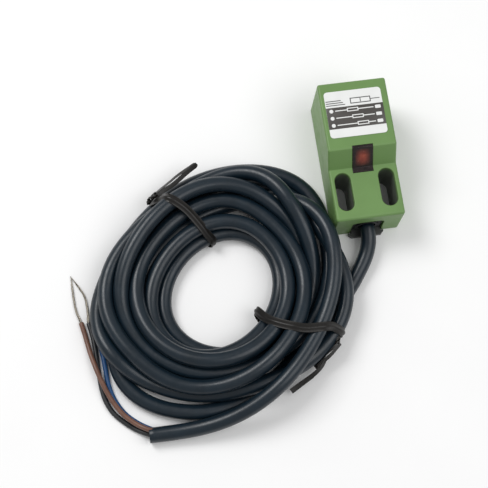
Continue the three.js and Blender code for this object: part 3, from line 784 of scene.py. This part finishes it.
def tie_band(name, plan, slack, node):
    """A closed band over the plan line and back under it, round the bundle, slack at its inner end."""
    plan = np.array(plan, float)
    fine = spline([(x, y, 0) for x, y in plan], 0.5)[:, :2]
    first, last = fine[1] - fine[0], fine[-1] - fine[-2]
    before = fine[0] - first / np.linalg.norm(first) * np.arange(12, 0, -1)[:, None] * 0.5
    after = fine[-1] + last / np.linalg.norm(last) * np.arange(1, 13)[:, None] * 0.5
    fine = np.concatenate([before, fine, after])
    along = places_along(fine)
    round_points = []
    reach = CABLE_RADIUS + TIE_GAP
    for place, height, lean in crossings(fine):
        for angle in turned_by(24):
            round_points.append(
                (place + reach / max(lean, 0.75) * math.cos(angle), height + reach * math.sin(angle))
            )
    inner = along[np.argmin(np.linalg.norm(fine - np.array(slack[:2]), axis=1))]
    for angle in turned_by(12):
        round_points.append((inner + SLACK * math.cos(angle), slack[2] + SLACK * math.sin(angle)))
    outline = np.array(hull(round_points))
    outline = np.concatenate([outline, outline[:1]])
    outline = np.concatenate([outline, np.zeros((len(outline), 1))], axis=1)
    outline = resampled(outline, 0.7)[:-1, :2]
    for _ in range(3):
        outline = 0.25 * np.roll(outline, 1, 0) + 0.5 * outline + 0.25 * np.roll(outline, -1, 0)
    x = np.interp(outline[:, 0], along, fine[:, 0])
    y = np.interp(outline[:, 0], along, fine[:, 1])
    z = np.maximum(outline[:, 1], TIE_LOWEST)
    path = np.stack([x, y, z], axis=1)
    middle = path.mean(axis=0)
    turn = np.roll(path, -1, axis=0) - np.roll(path, 1, axis=0)
    level = np.cross(turn, np.array([fine[-1][1] - fine[0][1], fine[0][0] - fine[-1][0], 0]))
    outward = level * np.sign((level * (path - middle)).sum(1))[:, None]
    band = dress(swept(name, path, outward, TIE_SECTION, closed=True), TIE)
    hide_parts(node)
    return band


TIES = [
    {
        "name": "tie_upper",
        "node": "twist_tie_upper",
        "plan": [
            (-55.6, -3.7), (-54.2, -4.0), (-51.9, -4.9), (-49.6, -6.4), (-47.0, -8.4),
            (-44.9, -10.8), (-43.1, -13.3), (-42.1, -14.8), (-41.3, -15.7),
        ],
        "twist": [(-56.2, -4.2, 5.2), (-55.2, -3.5, 6.2), (-53.8, -2.6, 6.6)],
        "fold": [
            (-54.4, -3.0, 6.2), (-52.4, -1.6, 5.9), (-49.6, 0.0, 5.7), (-46.2, 2.3, 5.6), (-42.7, 4.4, 5.4),
        ],
        "slack": (-41.0, -16.0, 3.4),
    },
    {
        "name": "tie_lower",
        "node": "twist_tie_lower",
        "plan": [
            (-13.2, -44.4), (-14.2, -44.1), (-17.1, -44.2), (-21.4, -44.0),
            (-25.7, -42.5), (-29.2, -40.6), (-30.8, -38.9), (-31.4, -38.0),
        ],
        "twist": [(-12.9, -44.6, 5.2), (-12.6, -46.2, 5.8), (-13.2, -48.2, 6.0)],
        "fold": [(-12.4, -48.0, 6.0), (-15.1, -49.9, 5.6), (-17.2, -51.4, 5.2), (-18.9, -52.8, 4.6)],
        "slack": (-31.9, -37.4, 4.4),
        "end": [
            (-16.6, -51.6, 5.0), (-17.9, -53.2, 4.0), (-20.3, -54.9, 3.3), (-23.3, -56.5, 2.8),
            (-26.3, -58.1, 2.4),
        ],
    },
]


def tie_strand(name, route, size):
    """A free stretch of tie, leaning over from its edge."""
    path = spline(route, 0.3)
    outward = np.cross(directions(path), (0.0, 0.0, 1.0))
    lean = np.linspace(0.5, 1.3, len(path))
    piece = swept(name, path, outward, TIE_SECTION, twist=lean, size=np.full(len(path), size))
    return dress(piece, TIE)


def make_tie(tie):
    pieces = [tie_band(tie["name"], tie["plan"], tie["slack"], tie["node"])]
    path = spline(tie["twist"], 0.25)
    along = np.linspace(0, length_of(path), len(path))
    side, other = frames_along(path)
    for k in (0, 1):
        angle = along * 2 * math.pi / 4.2 + math.pi * k
        strand = path + 0.45 * (np.cos(angle)[:, None] * side + np.sin(angle)[:, None] * other)
        up = np.tile((0.0, 0.0, 1.0), (len(path), 1))
        piece = swept(
            f'{tie["name"]}_twist_{k + 1}', strand, up, TIE_SECTION, twist=angle, size=np.full(len(path), 0.5)
        )
        pieces.append(dress(piece, TIE))
    out = spline(tie["fold"], 0.4)
    ahead = directions(out)
    aside = np.cross(ahead, (0.0, 0.0, 1.0))
    apart = 0.30 + 0.28 * np.sin(np.linspace(0, math.pi, len(out)))[:, None] ** 2
    folded = np.concatenate([out - apart * aside, out[-1:] + 0.45 * ahead[-1], (out + apart * aside)[::-1]])
    pieces.append(tie_strand(f'{tie["name"]}_fold', folded, 0.52))
    if "end" in tie:
        pieces.append(tie_strand(f'{tie["name"]}_end', tie["end"], 0.6))
    return pieces


[piece for tie in TIES for piece in make_tie(tie)]


# ---------------------------------------------------------------- housing
WIDTH = 18.0
REAR, FRONT = -18.0, 18.0
HEAD, DECK = 18.0, 13.0
HEAD_EDGE, SLOPE_FOOT = -0.5, -4.15
WALL = 1.2
EDGE = 0.75  # radius of the housing's outside edges
SLOT_X, SLOT_Y = 5.75, -10.3
SLOT_WIDTH, SLOT_LENGTH = 4.2, 10.2
SLOT_LIP = 0.3  # rounding of the slots' mouths
TOWER_WALL = 1.0  # round the slots, inside the shell
OUTLET_WIDTH, OUTLET_HEIGHT, OUTLET_CORNER = 8.3, 8.7, 1.4
LENS_WIDTH = 5.5
LENS_BACK, LENS_NEAR = HEAD_EDGE + 0.7, SLOPE_FOOT - 1.45


def inset_corners(corners, inset):
    """Corners (a, b, radius) of a closed outline, anticlockwise, moved inward by inset."""
    out = []
    count = len(corners)
    for i, (a, b, r) in enumerate(corners):
        here = np.array((a, b))
        came = here - np.array(corners[i - 1][:2])
        goes = np.array(corners[(i + 1) % count][:2]) - here
        came, goes = came / np.linalg.norm(came), goes / np.linalg.norm(goes)
        left_in = np.array((-came[1], came[0]))
        left_out = np.array((-goes[1], goes[0]))
        bisector = left_in + left_out
        move = bisector * inset / (bisector @ left_in)
        convex = came[0] * goes[1] - came[1] * goes[0] > 0
        out.append((*(here + move), max(0.02, r - inset if convex else r + inset)))
    return out


def outline_points(corners, steps=6):
    """Points round an outline whose corners are rounded by their radii."""
    points = []
    count = len(corners)
    for i, (a, b, r) in enumerate(corners):
        here = np.array((a, b))
        came = np.array(corners[i - 1][:2]) - here
        goes = np.array(corners[(i + 1) % count][:2]) - here
        came, goes = came / np.linalg.norm(came), goes / np.linalg.norm(goes)
        half = math.acos(np.clip(came @ goes, -1, 1)) / 2
        centre = here + (came + goes) / np.linalg.norm(came + goes) * r / math.sin(half)
        start = here + came * r / math.tan(half) - centre
        sweep = math.pi - 2 * half
        sign = 1 if came[0] * goes[1] - came[1] * goes[0] < 0 else -1
        for k in range(steps + 1):
            angle = sign * sweep * k / steps
            c, s = math.cos(angle), math.sin(angle)
            points.append(centre + np.array((c * start[0] - s * start[1], s * start[0] + c * start[1])))
    return points


def lofted(name, sections):
    """Closed solid through sections with equal point counts."""
    sides = len(sections[0])
    vertices = [p for section in sections for p in section]
    faces = []
    for i in range(len(sections) - 1):
        for k in range(sides):
            n = (k + 1) % sides
            low, high = i * sides, (i + 1) * sides
            faces.append((low + k, low + n, high + n, high + k))
    faces.append(tuple(reversed(range(sides))))
    faces.append(tuple(range(len(vertices) - sides, len(vertices))))
    return mesh_object(name, vertices, faces, smooth=False)


def rounded_prism(name, corners, start, end, edge, to_space, steps=5):
    """Prism of an outline with its end edges rounded. to_space maps (a, b, along) to a point."""
    quarter = [math.pi / 2 * k / steps for k in range(steps + 1)]
    first = [(start + edge * (1 - math.cos(turn)), edge * (1 - math.sin(turn))) for turn in quarter]
    second = [(end - (at - start), inset) for at, inset in reversed(first)]
    stack = first + second
    sections = [
        [to_space(a, b, at) for a, b in outline_points(inset_corners(corners, inset))]
        for at, inset in stack
    ]
    return lofted(name, sections)


def across_x(a, b, at):
    return (at, a, b)


def up_z(a, b, at):
    return (a, b, at)


def cut(piece, tool):
    """Takes the tool's shape out of the piece and drops the tool."""
    modifier = piece.modifiers.new("cut", "BOOLEAN")
    modifier.operation = "DIFFERENCE"
    modifier.solver = "EXACT"
    modifier.object = tool
    shown = piece.evaluated_get(bpy.context.evaluated_depsgraph_get())
    mesh = bpy.data.meshes.new_from_object(shown)
    piece.modifiers.clear()
    old = piece.data
    piece.data = mesh
    bpy.data.meshes.remove(old)
    bpy.data.objects.remove(tool)


def smooth_faces(piece, angle=32):
    piece.data.shade_smooth()
    piece.data.set_sharp_from_angle(angle=math.radians(angle))
    even = piece.modifiers.new("even", "WEIGHTED_NORMAL")
    even.keep_sharp = True


def side_corners(inset=0.0):
    r = EDGE if inset == 0 else 0.2
    shift = inset * math.tan(math.atan2(HEAD - DECK, HEAD_EDGE - SLOPE_FOOT) / 2)
    bottom = 0.0 if inset == 0 else -1.0
    return [
        (REAR + inset, bottom, 0.15),
        (FRONT - inset, bottom, 0.15),
        (FRONT - inset, HEAD - inset, r),
        (HEAD_EDGE + shift, HEAD - inset, r),
        (SLOPE_FOOT + shift, DECK - inset, 0.35),
        (REAR + inset, DECK - inset, r),
    ]


def slot_corners(x, grow):
    r = SLOT_WIDTH / 2 + grow
    half = SLOT_LENGTH / 2 + grow
    return [
        (x - r, SLOT_Y - half, r - 0.01),
        (x + r, SLOT_Y - half, r - 0.01),
        (x + r, SLOT_Y + half, r - 0.01),
        (x - r, SLOT_Y + half, r - 0.01),
    ]


def slot_tool(name, x, wider, floor, top, lip):
    """Slot-shaped cutting tool that opens out by lip at top."""
    steps = 5
    stack = [(floor, 0.0)]
    for k in range(steps + 1):
        angle = math.pi / 2 * k / steps
        stack.append((top - lip + lip * math.sin(angle), lip * (1 - math.cos(angle))))
    stack.append((top + 1.0, lip))
    sections = [
        [up_z(a, b, at) for a, b in outline_points(slot_corners(x, wider + grow), 9)] for at, grow in stack
    ]
    return lofted(name, sections)


def lens_corners(outer, inner, margin):
    shift = math.tan(math.atan2(HEAD - DECK, HEAD_EDGE - SLOPE_FOOT) / 2)
    back, near = LENS_BACK - margin, LENS_NEAR + margin
    return [
        (near, DECK - inner, 0.1),
        (SLOPE_FOOT + inner * shift, DECK - inner, 0.1),
        (HEAD_EDGE + inner * shift, HEAD - inner, 0.1),
        (back, HEAD - inner, 0.1),
        (back, HEAD + outer, 0.14),
        (HEAD_EDGE - outer * shift, HEAD + outer, 0.2),
        (SLOPE_FOOT - outer * shift, DECK + outer, 0.12),
        (near, DECK + outer, 0.14),
    ]


def make_housing():
    half = WIDTH / 2
    body = rounded_prism("housing_shell", side_corners(), -half, half, 0.6, across_x)
    space = rounded_prism("space", side_corners(WALL), -half + WALL, half - WALL, 0.05, across_x, 1)
    for x in (-SLOT_X, SLOT_X):
        cut(space, slot_tool("tower", x, TOWER_WALL, -3, DECK + 2, 0.05))
    cut(body, space)
    for x in (-SLOT_X, SLOT_X):
        cut(body, slot_tool("slot", x, 0.0, -2, DECK, SLOT_LIP))

    def outlet_corners(grow):
        r = OUTLET_CORNER + grow
        a = OUTLET_WIDTH / 2 + grow
        return [(-a, -2, 0.1), (a, -2, 0.1), (a, OUTLET_HEIGHT + grow, r), (-a, OUTLET_HEIGHT + grow, r)]

    steps = 4
    lip = 0.2
    stack = [(REAR + WALL + 0.6, 0.0)]
    for k in range(steps + 1):
        angle = math.pi / 2 * k / steps
        stack.append((REAR + lip - lip * math.sin(angle), lip * (1 - math.cos(angle))))
    stack.append((REAR - 1, lip))
    outlet = lofted(
        "outlet",
        [[(-a, at, b) for a, b in outline_points(outlet_corners(grow), 6)][::-1] for at, grow in stack],
    )
    cut(body, outlet)
    side = LENS_WIDTH / 2
    pocket = rounded_prism("pocket", lens_corners(1.0, 1.5, -0.02), -side, side, 0.02, across_x, 1)
    cut(body, pocket)
    smooth_faces(body)
    dress(body, housing_material())
    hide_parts("housing")


def make_lens():
    half = LENS_WIDTH / 2 - 0.06
    lens = rounded_prism("lens_window", lens_corners(0.14, 1.5, 0.06), -half, half, 0.16, across_x, 4)
    smooth_faces(lens)
    middle = (0.0, (HEAD_EDGE + SLOPE_FOOT) / 2 - 0.1)
    dress(lens, lens_material(middle, 1.75, 1.35))
    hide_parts("led_lens")


make_housing()
make_lens()


# ---------------------------------------------------------------- label
LABEL_LOW, LABEL_HIGH = 2.7, 15.4  # along Y
LABEL_HALF = 7.5
LABEL_TOP = HEAD + 0.15
INK = 0.03  # thickness of printed areas above the film
BAND = (5.1, 11.0)


def plate(name, x0, y0, x1, y1, low, high, corner=0.05, edge=0.01):
    corners = [(x0, y0, corner), (x1, y0, corner), (x1, y1, corner), (x0, y1, corner)]
    piece = rounded_prism(name, corners, low, high, edge, up_z, 2)
    smooth_faces(piece, 40)
    return piece


def printed(name, pieces, material):
    """Joins printed marks into one piece."""
    for piece in pieces:
        piece.modifiers.clear()
    first = pieces[0]
    with bpy.context.temp_override(active_object=first, object=first, selected_editable_objects=pieces):
        bpy.ops.object.join()
    first.name = name
    dress(first, material)


def film(name, colour):
    s = Surface(name)
    cloud = s.noise(300, 3)
    s.colour(s.ramp(cloud, [(0.3, varied(colour, 0.97)), (0.7, varied(colour, 1.02))]))
    s.rough(s.span(cloud, 0.3, 0.7, 0.28, 0.36))
    s.bump(s.noise(3000, 2), 0.08, 0.00001)
    return s.material


def mark(x0, y0, x1, y1, under, corner=0.05):
    """A printed area lying on the surface at height under."""
    return plate("mark", x0, y0, x1, y1, under - 0.02, under + INK, corner)


def box_marks(x0, y0, x1, y1, under):
    """The four sides of a printed box."""
    line = 0.24
    return [
        mark(x0, y0, x1, y0 + line, under),
        mark(x0, y1 - line, x1, y1, under),
        mark(x0, y0 + line, x0 + line, y1 - line, under),
        mark(x1 - line, y0 + line, x1, y1 - line, under),
    ]


def make_label():
    white = film("label_white", (0.78, 0.79, 0.78))
    ink = film("label_ink", (0.065, 0.060, 0.055))
    grey = film("label_grey", (0.06, 0.06, 0.06))
    left, right = -LABEL_HALF - 0.3, LABEL_HALF - 0.3
    base = plate("label_film", left, LABEL_LOW, right, LABEL_HIGH, HEAD + 0.02, LABEL_TOP, 0.9, 0.03)
    dress(base, white)
    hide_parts("name_label")
    top = LABEL_TOP + INK
    band = plate("band", -LABEL_HALF - 0.29, BAND[0], LABEL_HALF - 0.31, BAND[1], LABEL_TOP - 0.02, top)
    printed("label_band", [band], ink)
    marks = []
    rows = 3
    for row in range(rows):
        y = BAND[1] - (row + 0.5) * (BAND[1] - BAND[0]) / rows
        box = -2.4 + 1.1 * row
        marks.append(mark(-7.0, y - 0.5, -6.0, y + 0.5, top, 0.45))
        marks.append(mark(-5.5, y - 0.13, box, y + 0.13, top))
        marks += box_marks(box, y - 0.5, box + 3.0, y + 0.5, top)
        marks.append(mark(box + 3.0, y - 0.13, 4.6, y + 0.13, top))
        marks.append(mark(5.0, y - 0.45, 6.5, y + 0.45, top, 0.2))
    printed("label_wiring", marks, white)
    lines = [mark(-7.6, 11.5 + 0.58 * k, -2.6 - 0.5 * k, 11.72 + 0.58 * k, LABEL_TOP) for k in range(3)]
    lines += box_marks(-1.2, 11.6, 4.2, 13.2, LABEL_TOP)
    lines.append(mark(1.4, 11.9, 1.6, 12.9, LABEL_TOP))
    lines.append(mark(4.2, 12.3, 6.6, 12.5, LABEL_TOP))
    printed("label_lines", lines, grey)


make_label()


# ---------------------------------------------------------------- carried-over CAD nodes
def finish_nodes():
    soft = {"base_cover": 0.16, "cable_grommet": 0.12, "circuit_board": 0.05, "ferrite_core": 0.15}
    chip = plastic("chip_plastic", (0.014, 0.014, 0.015), 0.5)
    materials = {
        "base_cover": DARK,
        "cable_grommet": RUBBER,
        "cable_stub": JACKET,
        "potting_resin": plastic("resin", (0.012, 0.012, 0.013), 0.16),
        "inner_wire_brown": BROWN_PVC,
        "inner_wire_black": BLACK_PVC,
        "inner_wire_blue": BLUE_PVC,
        "ferrite_core": plastic("ferrite", (0.045, 0.045, 0.048), 0.55, 2500, 0.2, 0.1, 0.00004),
        "coil_bobbin": plastic("bobbin_plastic", (0.62, 0.58, 0.48), 0.4),
        "circuit_board": laminate_material(),
        "led": plastic("led_body", (0.45, 0.03, 0.02), 0.2),
        "oscillator_chip": chip,
        "output_transistor": chip,
        "protection_diode": chip,
        "resistor_led": chip,
        "resistor_bias": chip,
        "resistor_gain": chip,
        "resistor_output": chip,
    }
    solder = metal("solder", (0.62, 0.63, 0.64), 0.25)
    copper = winding_material()
    capacitor = plastic("capacitor_body", (0.48, 0.29, 0.08), 0.35)
    for name in ("solder_joint_brown", "solder_joint_black", "solder_joint_blue"):
        materials[name] = solder
    for name in ("coil_winding", "coil_lead_left", "coil_lead_right"):
        materials[name] = copper
    for name in ("capacitor_supply", "capacitor_tuning"):
        materials[name] = capacitor
    for name, material in materials.items():
        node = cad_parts[name]
        node.data.materials.clear()
        node.data.materials.append(material)
        if name in soft:
            edge = node.modifiers.new("edge", "BEVEL")
            edge.width = soft[name] * MM
            edge.segments = 3
            edge.limit_method = "ANGLE"
            edge.angle_limit = math.radians(40)


finish_nodes()


# ---------------------------------------------------------------- floor and light
LIGHT_AIM = (-30, -28, 5)  # mm


def add_floor():
    reach = 3000
    plane = mesh_object(
        "floor",
        [(-reach, -reach, 0), (reach, -reach, 0), (reach, reach, 0), (-reach, reach, 0)],
        [(0, 1, 2, 3)],
        smooth=False,
    )
    plane.data.materials.append(floor_material())


def area_light(name, place, size, power):
    data = bpy.data.lights.new(name, "AREA")
    data.shape = "RECTANGLE"
    data.size = size * MM
    data.size_y = size * MM
    data.energy = power
    light = bpy.data.objects.new(name, data)
    light.location = Vector(place) * MM
    light.rotation_euler = (Vector(LIGHT_AIM) * MM - light.location).to_track_quat("-Z", "Y").to_euler()
    bpy.context.collection.objects.link(light)


def add_lights():
    world = bpy.data.worlds.new("world")
    world.use_nodes = True
    world.node_tree.nodes["Background"].inputs["Color"].default_value = (1, 1, 1, 1)
    world.node_tree.nodes["Background"].inputs["Strength"].default_value = 0.45
    bpy.context.scene.world = world
    area_light("key", (-330, 260, 520), 300, 2.25)
    area_light("fill", (280, -170, 560), 460, 1.5)
    bpy.context.scene.view_settings.view_transform = "Standard"


add_floor()
add_lights()
